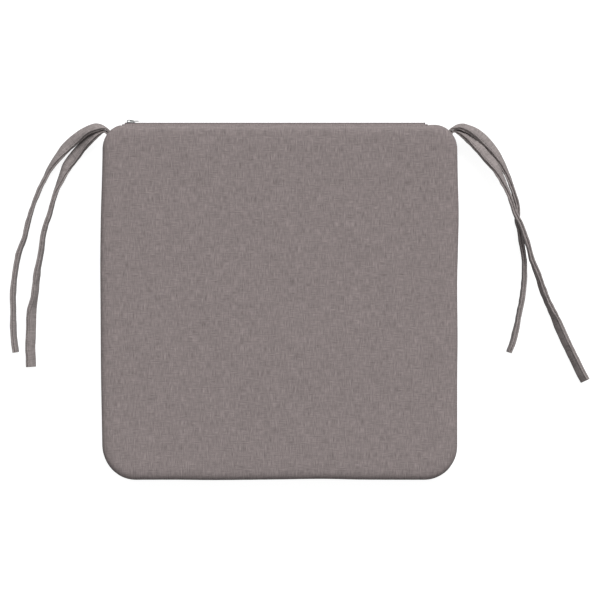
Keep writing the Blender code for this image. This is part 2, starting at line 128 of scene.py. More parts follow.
# The routes of the ties' middles, from the corner out, as the CAD model has them: x, y and the
# height of the lower edge in millimetres, and how far the edge nearer to the pad is turned up, in
# degrees. At 90 the tape stands on edge with its open side up.
TIE_ROUTES = {
    "tie_left_outer": [
        (-174.4, 175.0, 11.2, 84), (-179.1, 176.5, 10.6, 56), (-185.3, 176.3, 9.6, 46),
        (-191.8, 174.2, 8.6, 47), (-197.9, 171.0, 7.4, 40), (-203.7, 166.9, 6.2, 28),
        (-209.4, 162.3, 5.0, 24), (-215.7, 156.4, 3.8, 30), (-221.6, 149.7, 2.5, 47),
        (-227.4, 142.3, 1.5, 62), (-233.1, 133.5, 0.8, 72), (-238.8, 122.2, 0.4, 80),
        (-244.2, 111.1, 0.1, 85), (-250.1, 95.5, 0.0, 86), (-254.4, 80.9, 0.0, 90),
        (-258.1, 64.8, 0.0, 93), (-263.4, 50.8, 0.0, 94), (-266.0, 38.6, 0.0, 94),
        (-268.1, 24.5, 0.0, 95), (-269.5, 8.3, 0.0, 98), (-269.2, -9.8, 0.0, 97),
        (-269.1, -26.0, 0.0, 100), (-268.2, -39.1, 0.0, 102), (-266.5, -50.6, 0.0, 101),
    ],
    "tie_left_inner": [
        (-175.2, 172.0, 10.6, 84), (-179.2, 172.4, 9.4, 54), (-185.6, 169.8, 7.4, 48),
        (-192.7, 163.8, 5.4, 46), (-198.4, 158.3, 3.6, 36), (-203.9, 152.3, 2.2, 26),
        (-209.5, 145.6, 1.2, 22), (-215.2, 137.5, 0.6, 31), (-219.4, 128.5, 0.2, 56),
        (-223.2, 119.4, 0.0, 69), (-226.4, 111.2, 0.0, 83), (-229.5, 101.1, 0.0, 89),
        (-232.3, 90.0, 0.0, 92), (-236.2, 79.0, 0.0, 92), (-239.2, 66.8, 0.0, 94),
        (-240.8, 52.7, 0.0, 97), (-243.1, 40.6, 0.0, 98), (-245.3, 28.5, 0.0, 104),
        (-246.4, 16.3, 0.0, 110), (-248.0, 4.2, 0.0, 110), (-250.6, -8.8, 0.0, 130),
        (-251.1, -22.9, 0.0, 137), (-251.7, -38.0, 0.0, 136), (-251.8, -52.2, 0.0, 136),
        (-251.2, -65.3, 0.0, 136),
    ],
    "tie_right_outer": [
        (173.6, 174.8, 11.4, 85), (178.2, 176.5, 10.4, 63), (183.1, 177.1, 9.0, 62),
        (190.0, 175.2, 7.8, 52), (196.5, 172.0, 6.9, 43), (202.4, 167.9, 6.3, 37),
        (208.1, 162.8, 5.8, 34), (214.1, 156.2, 5.1, 40), (219.7, 148.3, 4.0, 51),
        (224.9, 139.8, 2.6, 66), (230.1, 129.5, 1.4, 74), (233.9, 119.5, 0.6, 84),
        (237.7, 108.5, 0.2, 88), (241.0, 95.3, 0.0, 90), (240.4, 82.8, 0.0, 92),
        (242.8, 72.9, 0.0, 92), (244.6, 60.9, 0.0, 92), (247.1, 46.7, 0.0, 92),
        (247.8, 32.5, 0.0, 92), (247.1, 18.3, 0.0, 95), (245.4, 4.1, 0.0, 97),
        (242.6, -10.0, 0.0, 95), (239.4, -26.2, 0.0, 99), (235.8, -40.3, 0.0, 101),
        (231.9, -50.6, 0.0, 99),
    ],
    "tie_right_inner": [
        (174.7, 172.2, 10.4, 85), (178.5, 172.7, 9.1, 63), (183.8, 170.7, 8.4, 60),
        (190.5, 165.5, 7.9, 54), (196.7, 159.9, 8.9, 47), (202.6, 154.0, 10.4, 39),
        (208.5, 146.8, 11.2, 35), (214.6, 140.2, 11.4, 40), (220.5, 131.3, 11.5, 56),
        (225.0, 121.9, 11.5, 70), (229.4, 112.6, 11.7, 80), (233.8, 101.4, 11.7, 87),
        (237.2, 89.9, 11.9, 90), (242.7, 79.8, 11.9, 90), (246.6, 69.1, 11.7, 92),
        (250.7, 56.7, 10.8, 94), (254.7, 42.6, 8.8, 95), (260.3, 28.7, 6.3, 103),
        (264.8, 15.6, 4.0, 108), (269.9, 2.6, 2.2, 108), (275.7, -9.4, 1.0, 113),
        (281.2, -21.5, 0.4, 128), (286.5, -33.7, 0.0, 130), (292.7, -46.9, 0.0, 130),
        (298.7, -59.1, 0.0, 130), (304.0, -70.0, 0.0, 132), (309.0, -79.5, 0.0, 132),
    ],
}

# The folded tape's half section, from the fold to the middle of the open edge: millimetres across
# and half the thickness. The dip at TIE_STITCH is the stitching, and the end is the groove between
# the two lips.
TIE_STITCH = 3.7
TIE_SECTION = [(-5.5, 0.0), (-5.43, 0.7), (-5.15, 1.32), (-4.6, 1.84), (-3.8, 2.18), (-2.8, 2.36),
               (-1.6, 2.4), (-0.3, 2.4), (1.2, 2.36), (2.3, 2.26), (3.1, 2.04), (3.45, 1.78),
               (3.7, 1.64), (3.95, 1.78), (4.25, 2.04), (4.6, 2.18), (5.0, 2.12), (5.35, 1.85),
               (5.5, 1.4), (5.43, 0.9), (5.15, 0.5), (4.7, 0.22), (4.2, 0.0)]
TIE_GROOVE = (dict(TIE_SECTION)[TIE_STITCH] + 0.1) * MM
# From one side of the tape's cut end to the other: how far each layer sticks out, in millimetres.
END_LAYERS = (0.0, 0.12, -0.3, 0.12, -0.45, 0.12, -0.3, 0.12, 0.0)
END_EDGE = 3
# Across the section: where the drift of its lips sets in, and where that of its fold ends
LIPS_ACROSS, FOLD_ACROSS = (3.4 * MM, 5 * MM), (-5 * MM, 1 * MM)
# Each tie is cut from another place on the cloth, and so is the lower panel: shifts in metres.
TIE_SHIFT = (0.37, 0.11)
BOTTOM_SHIFT = 0.5
# How unevenly the tape lies, as amplitude and wavelength: its whole thickness, the drift of its
# lips and of its fold across the width, and the thickness of its upper and of its lower side.
TIE_PUFF = (0.05, 22 * MM)
LIP_DRIFT, FOLD_DRIFT = (0.16 * MM, 17 * MM), (0.12 * MM, 25 * MM)
UPPER_PUFF = LOWER_PUFF = (0.05, 13 * MM)

# -------- zip
COIL_PITCH = 1.25 * MM
COIL_WIRE = 0.3 * MM
COIL_REACH = (0.65 * MM, 1.8 * MM)
COIL_HALF_DEPTH = 0.45 * MM
COIL_STEPS = 12
COIL_SIDES = 6
COIL_FLATNESS = 0.7
# The tape is pressed thin behind the coil, and swells between two heights above the seam.
TAPE_THICKNESS = 0.5 * MM
TAPE_PRESSED = 0.18 * MM
TAPE_SWELLS = (2.0 * MM, 2.7 * MM)
TAPE_STEP, TAPE_STATION = 0.35 * MM, 2 * MM
# The tape's middle from its edge behind the coil to its hidden edge: y less the chain's, and height
# above the seam, in millimetres.
TAPE_ROUTE = [(-0.9, 0.4), (-0.9, 1.1), (-0.9, 1.7), (-0.75, 2.0), (-0.3, 2.3), (0.0, 2.7),
              (0.0, 3.15), (-0.15, 3.6), (-0.85, 3.95), (-1.8, 4.2), (-2.6, 4.6), (-3.2, 5.3),
              (-3.75, 6.3), (-4.15, 7.5), (-4.6, 8.6), (-5.3, 9.7)]
TACK_LOOPS = 5
TACK_STEPS = 20
TACK_LEAN = 0.6
TACK_FLATNESS = 0.5
# How far out from the chain's middle the slider's outer plate starts, and its crown
PLATE_INSIDE, CROWN_FOOT = 1.4 * MM, 1.8 * MM
PLATE_THINNER, CROWN_THICKER = 0.3 * MM, 0.14 * MM
METAL_ROUNDING = 0.14 * MM
ROUNDED_FROM = math.radians(25)
FLAT_WITHIN = math.radians(2)
MERGED_WITHIN = 0.002 * MM

# -------- stitches
THREAD_RADIUS = 0.24 * MM
THREAD_SIDES = 6
# One stitch from end to end: height over the cloth in thread radii, and share of its length.
STITCH_LIFT = np.array([-1.1, 0.25, 0.6, 0.25, -1.1])
STITCH_REACH = np.array([0.0, 0.14, 0.5, 0.86, 1.0])
# Length of a stitch and of the gap after it
ZIP_STITCH = (2.7 * MM, 0.5 * MM)
TIE_STITCHES = (2.4 * MM, 0.5 * MM)
# The row beside each lip: place in from the outline and above the seam, and the groove's normal
STITCH_IN, STITCH_HEIGHT = 1.47 * MM, 6.75 * MM
GROOVE_BACK, GROOVE_UP = 0.93, 0.36
# The bar of stitches past each end of the tapes
BARTACK_OUT = 1.6 * MM
BARTACK_THREAD = 0.2 * MM
BARTACK_PITCH = 0.34 * MM
BARTACK_HALF_WIDTH = 0.9 * MM
BARTACK_TOP = 6 * MM
BARTACK_SLOPE = 0.4


# -------- small helpers
def add_piece(name, mesh, slot, body=PAD, sharp=None):
    """A new object with its slot's material, riding on a body."""
    piece = bpy.data.objects.new(name, mesh)
    bpy.context.scene.collection.objects.link(piece)
    mesh.materials.clear()
    mesh.materials.append(MATERIALS[slot])
    mesh.shade_smooth()
    if sharp is not None:
        mesh.set_sharp_from_angle(angle=math.radians(sharp))
    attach(piece, body)
    return piece


def mesh_of(name, vertices, faces):
    """A mesh from arrays, with its faces turned outwards."""
    mesh = bpy.data.meshes.new(name)
    mesh.from_pydata(np.asarray(vertices).tolist(), [], faces)
    bm = bmesh.new()
    bm.from_mesh(mesh)
    bmesh.ops.recalc_face_normals(bm, faces=bm.faces)
    bm.to_mesh(mesh)
    bm.free()
    return mesh


def set_cloth_map(mesh, flat):
    """UV map 'cloth': each vertex's place on the flat cloth, in metres."""
    layer = mesh.uv_layers.new(name="cloth")
    corners = np.zeros(len(mesh.loops), dtype=np.int64)
    mesh.loops.foreach_get("vertex_index", corners)
    layer.data.foreach_set("uv", np.asarray(flat)[corners].astype(np.float32).ravel())


def smoothstep(value, low, high):
    """0 below low, 1 above high, and a smooth rise between."""
    t = np.clip((value - low) / (high - low), 0, 1)
    return t * t * (3 - 2 * t)


def unit(vectors):
    return vectors / np.linalg.norm(vectors, axis=-1, keepdims=True)


def running(points):
    """Distances along a polyline, one for each point."""
    return np.concatenate([[0], np.cumsum(np.linalg.norm(np.diff(points, axis=0), axis=1))])


def resample(points, stations):
    """Points at the given fractions of a polyline's length."""
    points = np.asarray(points, dtype=float)
    run = running(points)
    return np.column_stack([np.interp(stations * run[-1], run, column) for column in points.T])


def smooth_route(route, step):
    """Even samples of the smooth curve (uniform Catmull-Rom) through a route's points. A fourth
    value of a point is carried along."""
    points = np.array(route, dtype=float)
    points = np.vstack([2 * points[0] - points[1], points, 2 * points[-1] - points[-2]])
    t = np.linspace(0, 1, 12, endpoint=False)[:, None]
    fine = [0.5 * (2 * p1 + (p2 - p0) * t + (2 * p0 - 5 * p1 + 4 * p2 - p3) * t ** 2
                   + (3 * p1 - p0 - 3 * p2 + p3) * t ** 3)
            for p0, p1, p2, p3 in zip(points, points[1:], points[2:], points[3:])]
    fine = np.vstack(fine + [points[-2:-1]])
    run = running(fine[:, :3])
    stations = np.linspace(0, run[-1], round(run[-1] / step) + 1)
    return np.column_stack([np.interp(stations, run, column) for column in fine.T])


def soft_noise(run, seed, wavelength, count=8):
    """Smooth random values between about -1 and 1 along a line."""
    chance = random.Random(seed)
    total = np.zeros_like(run)
    for _ in range(count):
        length = wavelength * chance.uniform(0.6, 1.9)
        total += np.sin(run * math.tau / length + chance.uniform(0, math.tau))
    return total / math.sqrt(count)


def soft_waves(x, y, seed, wavelength, count=14):
    """Smooth random relief between about -1 and 1."""
    chance = random.Random(seed)
    total = np.zeros_like(x)
    for _ in range(count):
        heading = chance.uniform(0, math.tau)
        length = wavelength * chance.uniform(0.7, 1.6)
        phase = chance.uniform(0, math.tau)
        total += np.sin((x * math.cos(heading) + y * math.sin(heading)) * math.tau / length + phase)
    return total / math.sqrt(count)


def flattened(wave, power):
    """A wave between -1 and 1 with flatter tops."""
    return np.sign(wave) * np.abs(wave) ** power


def tube_rings(centres, across, up, radius, sides):
    """Vertices of round rings about each centre, in the plane of its two directions."""
    angles = np.arange(sides) * math.tau / sides
    circle = (np.cos(angles)[:, None, None] * across + np.sin(angles)[:, None, None] * up) * radius
    return (centres + circle).transpose(1, 0, 2).reshape(-1, 3)


def tube_faces(first, rings, sides):
    """Faces of a closed tube whose ring vertices start at number first."""
    faces = []
    for ring in range(rings - 1):
        low = list(range(first + ring * sides, first + (ring + 1) * sides))
        faces += [(a, b, b + sides, a + sides) for a, b in zip(low, low[1:] + low[:1])]
    last = first + (rings - 1) * sides
    return faces + [tuple(reversed(range(first, first + sides))), tuple(range(last, last + sides))]


# -------- shader helpers
class Nodes:
    """Short calls for building one material's node tree."""

    def __init__(self, name):
        self.material = bpy.data.materials.new(name)
        self.material.use_nodes = True
        self.tree = self.material.node_tree
        self.shader = self.tree.nodes["Principled BSDF"]

    def add(self, kind, **settings):
        node = self.tree.nodes.new("ShaderNode" + kind)
        for key, value in settings.items():
            setattr(node, key, value)
        return node

    def put(self, socket, value):
        if isinstance(value, bpy.types.NodeSocket):
            self.tree.links.new(value, socket)
        else:
            socket.default_value = value

    def fill(self, node, **values):
        """Values or links for a node's sockets, with _ for the spaces in their names."""
        for name, value in values.items():
            self.put(node.inputs[name.replace("_", " ")], value)
        return node

    def set(self, **values):
        self.fill(self.shader, **values)

    def maths(self, operation, first, second=0.0, third=0.0, clamp=False):
        node = self.add("Math", operation=operation, use_clamp=clamp)
        for socket, value in zip(node.inputs, (first, second, third)):
            self.put(socket, value)
        return node.outputs[0]

    def place(self):
        return self.add("TexCoord").outputs["Object"]

    def scaled(self, vector, scale):
        node = self.add("VectorMath", operation="MULTIPLY")
        self.put(node.inputs[0], vector)
        self.put(node.inputs[1], scale)
        return node.outputs[0]

    def noise(self, vector, scale, detail=2.0, roughness=0.5):
        node = self.fill(self.add("TexNoise"), Vector=vector, Scale=scale, Detail=detail,
                         Roughness=roughness)
        return node.outputs["Fac"]

    def ramp(self, value, stops):
        node = self.add("ValToRGB")
        self.put(node.inputs[0], value)
        elements = node.color_ramp.elements
        while len(elements) < len(stops):
            elements.new(0.5)
        for element, (position, colour) in zip(elements, stops):
            element.position = position
            element.color = (*colour, 1)
        return node.outputs["Color"]

    def mix(self, factor, first, second, blend="MIX"):
        node = self.add("Mix", data_type="RGBA", blend_type=blend)
        self.put(node.inputs[0], factor)
        self.put(node.inputs[6], first)
        self.put(node.inputs[7], second)
        return node.outputs[2]

    def bump(self, height, distance, strength):
        node = self.fill(self.add("Bump"), Height=height, Distance=distance, Strength=strength)
        self.set(Normal=node.outputs["Normal"])


HEATHER = 0.42


def woven_cloth(name, colour, pitch):
    """Heathered plain weave. The UV map holds the flat cloth in metres; pitch is in millimetres."""
    n = Nodes(name)
    uv = n.add("UVMap", uv_map="cloth").outputs["UV"]
    cloth = n.scaled(uv, (1000, 1000, 0))
    wobble = n.fill(n.add("TexNoise"), Vector=cloth, Scale=0.12)
    offset = n.add("VectorMath", operation="MULTIPLY_ADD")
    n.put(offset.inputs[0], wobble.outputs["Color"])
    offset.inputs[1].default_value = (1.1, 1.1, 0)
    n.put(offset.inputs[2], cloth)
    split = n.add("SeparateXYZ")
    n.put(split.inputs[0], offset.outputs[0])
    turns = math.pi / pitch
    warp = n.maths("SINE", n.maths("MULTIPLY", split.outputs[0], turns))
    weft = n.maths("SINE", n.maths("MULTIPLY", split.outputs[1], turns))
    over = n.maths("MULTIPLY_ADD", n.maths("MULTIPLY", warp, weft), 0.5, 0.5)
    ribs = n.maths("ADD", n.maths("ABSOLUTE", warp), n.maths("ABSOLUTE", weft))

    def yarns(across, along, flip):
        """Streaks of lighter and darker yarn, thin across the cloth and long along the yarn."""
        pair = (across, along) if flip else (along, across)
        return n.noise(n.scaled(cloth, (*pair, 0)), 1.0, 1.0, 0.4)

    warp_tone, weft_tone = (n.maths("ADD", n.maths("MULTIPLY", yarns(0.85, 0.12, flip), 0.7),
                                    n.maths("MULTIPLY", yarns(1.9, 0.2, flip), 0.3))
                            for flip in (True, False))
    patches = n.noise(cloth, 0.16, 1.0)
    lead = n.maths("MULTIPLY_ADD", patches, 3.4, -1.35)
    share = n.maths("MULTIPLY_ADD", over, 0.35, n.maths("MULTIPLY", lead, 0.65), clamp=True)
    tone = n.mix(share, warp_tone, weft_tone)
    dark, light = (tuple(c * (1 + share) for c in colour) for share in (-HEATHER, HEATHER))
    heather = n.ramp(tone, [(0.25, dark), (0.5, colour), (0.75, light)])
    blotch = n.noise(cloth, 0.02)
    cloud = n.noise(cloth, 0.07, 1.0)
    shade = n.maths("ADD", n.maths("MULTIPLY_ADD", blotch, 0.05, 0.905),
                    n.maths("MULTIPLY", cloud, 0.14))
    # Painted shade: the cloth's colour darkens in the grooves between the yarns, where the bump
    # relief below is lowest.
    painted_groove_shade = n.maths("MULTIPLY_ADD", ribs, 0.10, 0.88)
    value = n.maths("MULTIPLY", shade, painted_groove_shade)
    grey = n.add("CombineColor")
    for socket in grey.inputs:
        n.put(socket, value)
    n.set(Base_Color=n.mix(1.0, heather, grey.outputs[0], "MULTIPLY"), Roughness=0.92,
          Specular_IOR_Level=0.15, Sheen_Weight=0.12, Sheen_Roughness=0.5)
    fuzz = n.noise(cloth, 3.1, 3.0, 0.7)
    relief = n.maths("ADD", n.maths("MULTIPLY", over, 0.55), n.maths("MULTIPLY", ribs, 0.3))
    yarn_relief = n.maths("ADD", n.maths("MULTIPLY", tone, 1.1), n.maths("MULTIPLY", fuzz, 0.3))
    n.bump(n.maths("ADD", relief, yarn_relief), 0.14 * MM, 0.5)
    return n.material


def foam_material():
    """Open-cell polyurethane foam, slightly uneven in colour."""
    n = Nodes("foam")
    place = n.place()
    cells = n.fill(n.add("TexVoronoi"), Vector=place, Scale=900)
    blotch = n.noise(place, 30, 3)
    n.set(Base_Color=n.ramp(blotch, [(0.3, (0.72, 0.63, 0.42)), (0.7, (0.84, 0.78, 0.60))]),
          Roughness=0.95)
    n.bump(cells.outputs["Distance"], 0.5 * MM, 0.6)
    return n.material


def tape_material():
    """Polyester zip tape: fine ribs along its length."""
    n = Nodes("zip_tape")
    ribs = n.noise(n.scaled(n.place(), (300, 4000, 4000)), 1.0)
    n.set(Base_Color=n.ramp(ribs, [(0.3, (0.085, 0.064, 0.067)), (0.7, (0.145, 0.115, 0.118))]),
          Roughness=0.85, Sheen_Weight=0.1)
    n.bump(ribs, 0.1 * MM, 0.5)
    return n.material


def nylon_material():
    """Dyed nylon filament, slightly uneven in gloss."""
    n = Nodes("zip_coil")
    wear = n.noise(n.place(), 900)
    n.set(Base_Color=n.ramp(wear, [(0.3, (0.110, 0.082, 0.086)), (0.7, (0.155, 0.120, 0.125))]),
          Roughness=n.maths("MULTIPLY_ADD", wear, 0.2, 0.35))
    return n.material


def metal_material():
    """Cast zinc with a thin lacquer, rubbed brighter in places."""
    n = Nodes("slider_metal")
    wear = n.noise(n.place(), 1400, 4.0, 0.6)
    n.set(Base_Color=n.ramp(wear, [(0.35, (0.25, 0.26, 0.255)), (0.65, (0.40, 0.41, 0.405))]),
          Metallic=0.9, Roughness=n.maths("MULTIPLY_ADD", wear, 0.25, 0.25))
    n.bump(wear, 0.04 * MM, 0.4)
    return n.material


def thread_material():
    """Spun sewing thread."""
    n = Nodes("thread")
    ply = n.noise(n.place(), 2500)
    n.set(Base_Color=n.ramp(ply, [(0.3, (0.135, 0.112, 0.111)), (0.7, (0.215, 0.185, 0.183))]),
          Roughness=0.7, Sheen_Weight=0.2)
    n.bump(ply, 0.08 * MM, 0.6)
    return n.material


MATERIALS = {
    "cover_cloth": woven_cloth("cover_cloth", (0.214, 0.182, 0.179), 0.9),
    "tie_cloth": woven_cloth("tie_cloth", (0.246, 0.217, 0.212), 0.8),
    "foam": foam_material(),
    "zip_tape": tape_material(),
    "zip_coil": nylon_material(),
    "slider_metal": metal_material(),
    "thread": thread_material(),
}


# -------- camera, light and floor
VIEW_WIDTH = 605 * MM
VIEW_CENTRE = (20.7 * MM, 2.3 * MM)
CAMERA_DISTANCE = 2.6
SENSOR = 36
KEY_DIRECTION = (0.22, 0.78, 0.59)
KEY_STRENGTH = 3.4
KEY_ANGLE = 35
SKY_STRENGTH = 0.47
SKY_FROM_BELOW = 0.15
SKY_HORIZON = 0.1
BACKDROP_RADIUS, BACKDROP_CURVE = 9, 3
BACKDROP_STEPS, BACKDROP_SIDES = 8, 48
FLOOR_DROP = 0.2 * MM
FLOOR_GLOW = 0.9


def build_camera():
    """Straight down from far away, on a square a little to the right of the pad's middle."""
    data = bpy.data.cameras.new("camera")
    camera = bpy.data.objects.new("camera", data)
    bpy.context.scene.collection.objects.link(camera)
    camera.location = (*VIEW_CENTRE, MID + CAMERA_DISTANCE)
    data.sensor_width = SENSOR
    data.lens = SENSOR * CAMERA_DISTANCE / VIEW_WIDTH
    data.clip_end = 50
    bpy.context.scene.camera = camera


def build_light():
    """A broad light from behind and to the right, and an even sky."""
    data = bpy.data.lights.new("key", "SUN")
    data.energy = KEY_STRENGTH
    data.angle = math.radians(KEY_ANGLE)
    key = bpy.data.objects.new("key", data)
    key.rotation_euler = Vector(KEY_DIRECTION).to_track_quat("Z", "Y").to_euler()
    bpy.context.scene.collection.objects.link(key)

    world = bpy.data.worlds.new("studio")
    bpy.context.scene.world = world
    world.use_nodes = True
    tree = world.node_tree
    place = tree.nodes.new("ShaderNodeTexCoord")
    split = tree.nodes.new("ShaderNodeSeparateXYZ")
    ramp = tree.nodes.new("ShaderNodeValToRGB")
    ramp.color_ramp.elements[0].color = (*[SKY_FROM_BELOW] * 3, 1)
    ramp.color_ramp.elements[1].position = SKY_HORIZON
    tree.links.new(place.outputs["Generated"], split.inputs[0])
    tree.links.new(split.outputs["Z"], ramp.inputs[0])
    background = tree.nodes["Background"]
    tree.links.new(ramp.outputs["Color"], background.inputs["Color"])
    background.inputs["Strength"].default_value = SKY_STRENGTH
    bpy.context.scene.view_settings.view_transform = "Standard"


def build_stage():
    """A white floor that runs up into a round backdrop, and doesn't block or bounce light."""
    flat, curve = BACKDROP_RADIUS - BACKDROP_CURVE, BACKDROP_CURVE
    profile = [(0.001, 0), (flat, 0)]
    profile += [(flat + curve * math.sin(a), curve - curve * math.cos(a))
                for a in np.linspace(0, math.pi / 2, BACKDROP_STEPS + 1)[1:]]
    profile += [(BACKDROP_RADIUS, BACKDROP_RADIUS)]
    bm = bmesh.new()
    corners = [bm.verts.new((radius, 0, height - FLOOR_DROP)) for radius, height in profile]
    edges = [bm.edges.new(pair) for pair in zip(corners, corners[1:])]
    bmesh.ops.spin(bm, geom=corners + edges, axis=(0, 0, 1), cent=(0, 0, 0),
                   angle=math.tau, steps=BACKDROP_SIDES, use_merge=True)
    mesh = bpy.data.meshes.new("floor")
    bm.to_mesh(mesh)
    bm.free()
    mesh.shade_smooth()
    floor = bpy.data.objects.new("floor", mesh)
    bpy.context.scene.collection.objects.link(floor)
    floor.visible_diffuse = floor.visible_glossy = floor.visible_shadow = False
    n = Nodes("floor")
    n.set(Base_Color=(0.3, 0.3, 0.3, 1), Roughness=1.0, Specular_IOR_Level=0.0,
          Emission_Color=(1, 1, 1, 1), Emission_Strength=FLOOR_GLOW)
    mesh.materials.append(n.material)


# -------- stitches
def stitch(start, end, normal, radius):
    """One stitch lying on the cloth: a short thread whose two ends dip into it."""
    along = end - start
    length = np.linalg.norm(along)
    along = along / length
    side = np.cross(normal, along)
    lift, reach = STITCH_LIFT * radius, STITCH_REACH * length
    centres = start + reach[:, None] * along + lift[:, None] * normal
    return tube_rings(centres, side[None, :], normal[None, :], radius, THREAD_SIDES)


def add_stitches(name, pairs, radius=THREAD_RADIUS):
    """One piece of many stitches, each given by its start, end and the cloth's normal."""
    vertices, faces, first = [], [], 0
    for start, end, normal in pairs:
        rings = stitch(start, end, normal, radius)
        faces += tube_faces(first, len(STITCH_LIFT), THREAD_SIDES)
        first += len(rings)
        vertices.append(rings)
    return add_piece(name, mesh_of(name, np.vstack(vertices), faces), "thread")


def stitch_row(points, normals, size):
    """Stitches and gaps along a line on the cloth."""
    length, gap = size
    run = running(points)

    def at(distance, values):
        return np.array([np.interp(distance, run, column) for column in values.T])

    pairs = []
    for start in np.arange(gap, run[-1] - length, length + gap):
        normal = unit(at(start + length / 2, normals))
        pairs.append((at(start, points), at(start + length, points), normal))
    return pairs


# -------- ties
def gathered(distance):
    """A tie's size, as a share of the full one, at a distance from the corner seam."""
    return TIE_GATHER + (1 - TIE_GATHER) * smoothstep(distance, 0, TIE_GATHER_REACH)


def tie_frames(route, step):
    """Centres, width directions and thickness directions along one tie."""
    samples = smooth_route([(x * MM, y * MM, lift * MM, math.radians(lean))
                            for x, y, lift, lean in route], step)
    x, y, lift, lean = samples.T
    half_flat = (TIE_WIDTH - TIE_THICKNESS) / 2
    size = gathered(np.arange(len(samples)) * step)
    height = FLOOR_GAP + lift + size * (TIE_THICKNESS / 2 + half_flat * np.abs(np.sin(lean)))
    centres = np.column_stack([x, y, height])
    ahead = unit(np.gradient(centres, axis=0))
    side = 1 if route[0][0] < 0 else -1
    inwards = unit(np.cross([0, 0, 1], ahead)) * side
    up = np.cross(ahead, inwards) * side
    width = inwards * np.cos(lean)[:, None] + up * np.sin(lean)[:, None]
    thick = up * np.cos(lean)[:, None] - inwards * np.sin(lean)[:, None]
    return centres, ahead, width, thick


def tie_rings(run, centres, width, thick, seed):
    """The folded tape's section at each centre, unevenly puffed and kept off the floor."""
    across, half = np.array(TIE_SECTION).T * MM
    lips = smoothstep(across, *LIPS_ACROSS)
    fold = 1 - smoothstep(across, *FOLD_ACROSS)
    puff, lip_drift, fold_drift, upper_puff, lower_puff = (
        amplitude * soft_noise(run, seed + k, wavelength) for k, (amplitude, wavelength)
        in enumerate((TIE_PUFF, LIP_DRIFT, FOLD_DRIFT, UPPER_PUFF, LOWER_PUFF)))
    rings = []
    for i, size in enumerate(gathered(run - ROOT_INSIDE)):
        place = (across + lip_drift[i] * lips + fold_drift[i] * fold) * size
        middle = centres[i] + place[:, None] * width[i]
        full = half * size * (1 + puff[i])
        top = middle + (full * (1 + upper_puff[i]))[:, None] * thick[i]
        bottom = middle - (full * (1 + lower_puff[i]))[:, None] * thick[i]
        ring = np.vstack([top, bottom[-2:0:-1]])
        ring[:, 2] = np.maximum(ring[:, 2], 0)
        rings.append(ring)
    return rings


def tie_mesh(name, centres, ahead, width, thick, seed):
    """The folded tape as rings of its section, with both ends cut square."""
    run = running(centres)
    rings = tie_rings(run, centres, width, thick, seed)
    count = len(TIE_SECTION)
    around = 2 * count - 2
    vertices = list(np.vstack(rings))
    faces = tube_faces(0, len(rings), around)[:-2]
    flat = []
    girth = running(rings[len(rings) // 2])
    for distance in run:
        flat += [(distance + seed * TIE_SHIFT[0], g + seed * TIE_SHIFT[1]) for g in girth]
    for ring, outwards in ((0, -1), (len(rings) - 1, 1)):
        top = [ring * around + i for i in range(count)]
        bottom = [ring * around + (around - i) % around for i in range(count)]
        rows = [top]
        for layer, dent in enumerate(END_LAYERS[1:-1], start=1):
            share = layer / (len(END_LAYERS) - 1)
            row = [top[0]]
            for i in range(1, count - 1):
                place = vertices[top[i]] * (1 - share) + vertices[bottom[i]] * share
                edge = min(i / END_EDGE, (count - 1 - i) / END_EDGE, 1)
                vertices.append(place + ahead[ring] * outwards * dent * MM * edge)
                flat.append(flat[top[i]])
                row.append(len(vertices) - 1)
            rows.append(row + [top[-1]])
        rows.append(bottom)
        for row, below in zip(rows, rows[1:]):
            for i in range(count - 1):
                corners = [row[i], row[i + 1], below[i + 1], below[i]]
                corners = [c for k, c in enumerate(corners) if c not in corners[:k]]
                if len(corners) > 2:
                    faces.append(tuple(corners))
    mesh = mesh_of(name, vertices, faces)
    set_cloth_map(mesh, flat)
    return mesh


def build_ties():
    """Each tie with its stitches: a little root inside the seam, and then its route."""
    for seed, (name, route) in enumerate(TIE_ROUTES.items(), start=1):
        centres, ahead, width, thick = tie_frames(route, TIE_STEP)
        inside = np.array([0.0, 0.0, MID]) - centres[0]
        inside = unit(inside * (1, 1, 0)) * ROOT_INSIDE
        steps = np.arange(round(ROOT_INSIDE / TIE_STEP), 0, -1)[:, None] * TIE_STEP / ROOT_INSIDE
        root = centres[0] + inside * steps
        root[:, 2] = centres[0][2] + (MID - centres[0][2]) * steps[:, 0]
        exit_point, lead = centres[0], len(root)
        centres = np.vstack([root, centres])
        ahead, width, thick = (np.vstack([np.repeat(v[:1], lead, axis=0), v])
                               for v in (ahead, width, thick))
        mesh = tie_mesh(name + "_tape", centres, ahead, width, thick, seed)
        tie = add_piece(name + "_tape", mesh, "tie_cloth", sharp=70)
        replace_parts(tie, name)
        sewn = slice(lead + TIE_SEWN_FROM, len(centres) - 1)
        pairs = []
        for side in (1, -1):
            line = centres[sewn] + width[sewn] * TIE_STITCH * MM + thick[sewn] * side * TIE_GROOVE
            pairs += stitch_row(line, thick[sewn] * side, TIE_STITCHES)
        thread = add_stitches(name + "_stitches", pairs)


# -------- the cover's form
def side_frames():
    """Each side of the outline: its normal's angle, and its start and end corners."""
    def corner(x, y, radius):
        return (x * (HALF_WIDTH - radius), y * (HALF_DEPTH - radius)), radius

    front_left, front_right = corner(-1, -1, FRONT_LEFT_RADIUS), corner(1, -1, FRONT_RIGHT_RADIUS)
    back_left, back_right = corner(-1, 1, BACK_RADIUS), corner(1, 1, BACK_RADIUS)
    return [(-math.pi / 2, front_left, front_right), (0.0, front_right, back_right),
            (math.pi / 2, back_right, back_left), (math.pi, back_left, front_left)]


